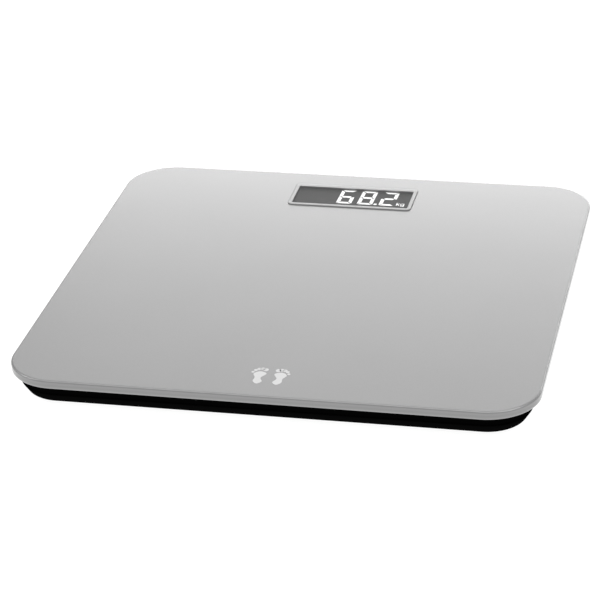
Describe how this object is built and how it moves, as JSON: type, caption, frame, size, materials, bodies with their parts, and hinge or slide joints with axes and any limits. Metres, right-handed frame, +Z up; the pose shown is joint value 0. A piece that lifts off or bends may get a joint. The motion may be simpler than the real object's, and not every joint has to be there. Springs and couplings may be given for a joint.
{
  "type": "digital bathroom scale",
  "caption": "Square silver glass platform scale with rounded corners, a recessed digital display near the rear edge, a shallow black tray and round feet on load cells.",
  "frame": {"origin": "on the floor under the middle of the platform", "axes": "+Z up, +Y towards the display at the rear edge, +X to the right of a person standing on it"},
  "size_m": [0.3, 0.3, 0.0212],
  "materials": {
    "silver_glass": "tempered float glass with a silver lacquer on its underside, so it looks opaque",
    "foam_tape": "double-sided foam tape",
    "black_plastic": "fine-textured moulded black plastic",
    "label_film": "satin silver film",
    "silver_plastic": "silver painted plastic, satin",
    "clear_window": "lightly tinted clear acrylic",
    "lcd_glass": "grey negative liquid-crystal glass with white segments",
    "acrylic": "clear acrylic",
    "white_plastic": "white, satin",
    "black_rubber": "matt moulded rubber",
    "board_laminate": "green solder mask on glass-epoxy laminate",
    "chip_resin": "black epoxy",
    "bright_steel": "nickel or zinc plated steel",
    "pressed_steel": "pressed steel plate, dull plated"
  },
  "bodies": {
    "scale": {"glass_platform": "silver_glass", "platform_tape": "foam_tape", "base_tray": "black_plastic", "rating_label": "label_film", "display_bezel": "silver_plastic", "display_tape": "foam_tape", "display_window": "clear_window", "lcd_panel": "lcd_glass", "backlight_guide": "acrylic", "backlight_led": "white_plastic", "zebra_connector": "black_rubber", "lcd_frame": "black_plastic", "main_board": "board_laminate", "controller_chip": "chip_resin", "amplifier_chip": "chip_resin", "board_capacitor": "bright_steel", "crystal": "bright_steel", "unit_switch_body": "chip_resin", "coin_cell": "bright_steel", "contact_negative": "bright_steel", "contact_positive": "bright_steel", "board_screw_1": "bright_steel", "board_screw_2": "bright_steel", "board_screw_3": "bright_steel", "board_screw_4": "bright_steel", "strain_gauge_front_left": "white_plastic", "cell_cover_front_left": "black_plastic", "cell_lead_front_left": "white_plastic", "cover_screw_a_front_left": "bright_steel", "cover_screw_b_front_left": "bright_steel", "strain_gauge_front_right": "white_plastic", "cell_cover_front_right": "black_plastic", "cell_lead_front_right": "white_plastic", "cover_screw_a_front_right": "bright_steel", "cover_screw_b_front_right": "bright_steel", "strain_gauge_rear_left": "white_plastic", "cell_cover_rear_left": "black_plastic", "cell_lead_rear_left": "white_plastic", "cover_screw_a_rear_left": "bright_steel", "cover_screw_b_rear_left": "bright_steel", "strain_gauge_rear_right": "white_plastic", "cell_cover_rear_right": "black_plastic", "cell_lead_rear_right": "white_plastic", "cover_screw_a_rear_right": "bright_steel", "cover_screw_b_rear_right": "bright_steel"},
    "battery_door": {"battery_door": "black_plastic"},
    "unit_button": {"unit_button": "black_plastic", "unit_switch_plunger": "white_plastic"},
    "foot_front_left": {"foot_cup_front_left": "black_plastic", "foot_pad_front_left": "black_rubber", "load_cell_front_left": "pressed_steel"},
    "foot_front_right": {"foot_cup_front_right": "black_plastic", "foot_pad_front_right": "black_rubber", "load_cell_front_right": "pressed_steel"},
    "foot_rear_left": {"foot_cup_rear_left": "black_plastic", "foot_pad_rear_left": "black_rubber", "load_cell_rear_left": "pressed_steel"},
    "foot_rear_right": {"foot_cup_rear_right": "black_plastic", "foot_pad_rear_right": "black_rubber", "load_cell_rear_right": "pressed_steel"}
  },
  "joints": [
    {"name": "press_foot_front_left", "type": "slide", "parent": "scale", "child": "foot_front_left", "axis": [0, 0, 1], "range_m": [0, 0.0005], "stiffness_N_per_m": 5000, "springref_m": -0.001, "deforming": ["load_cell_front_left"]},
    {"name": "press_foot_front_right", "type": "slide", "parent": "scale", "child": "foot_front_right", "axis": [0, 0, 1], "range_m": [0, 0.0005], "stiffness_N_per_m": 5000, "springref_m": -0.001, "deforming": ["load_cell_front_right"]},
    {"name": "press_foot_rear_left", "type": "slide", "parent": "scale", "child": "foot_rear_left", "axis": [0, 0, 1], "range_m": [0, 0.0005], "stiffness_N_per_m": 5000, "springref_m": -0.001, "deforming": ["load_cell_rear_left"]},
    {"name": "press_foot_rear_right", "type": "slide", "parent": "scale", "child": "foot_rear_right", "axis": [0, 0, 1], "range_m": [0, 0.0005], "stiffness_N_per_m": 5000, "springref_m": -0.001, "deforming": ["load_cell_rear_right"]},
    {"name": "open_battery_door", "type": "hinge", "parent": "scale", "child": "battery_door", "pos_m": [0, 0.0702, 0.00445], "axis": [-1, 0, 0], "range_deg": [0, 85]},
    {"name": "press_unit_button", "type": "slide", "parent": "scale", "child": "unit_button", "axis": [0, 0, 1], "range_m": [0, 0.0005], "stiffness_N_per_m": 1500}
  ]
}
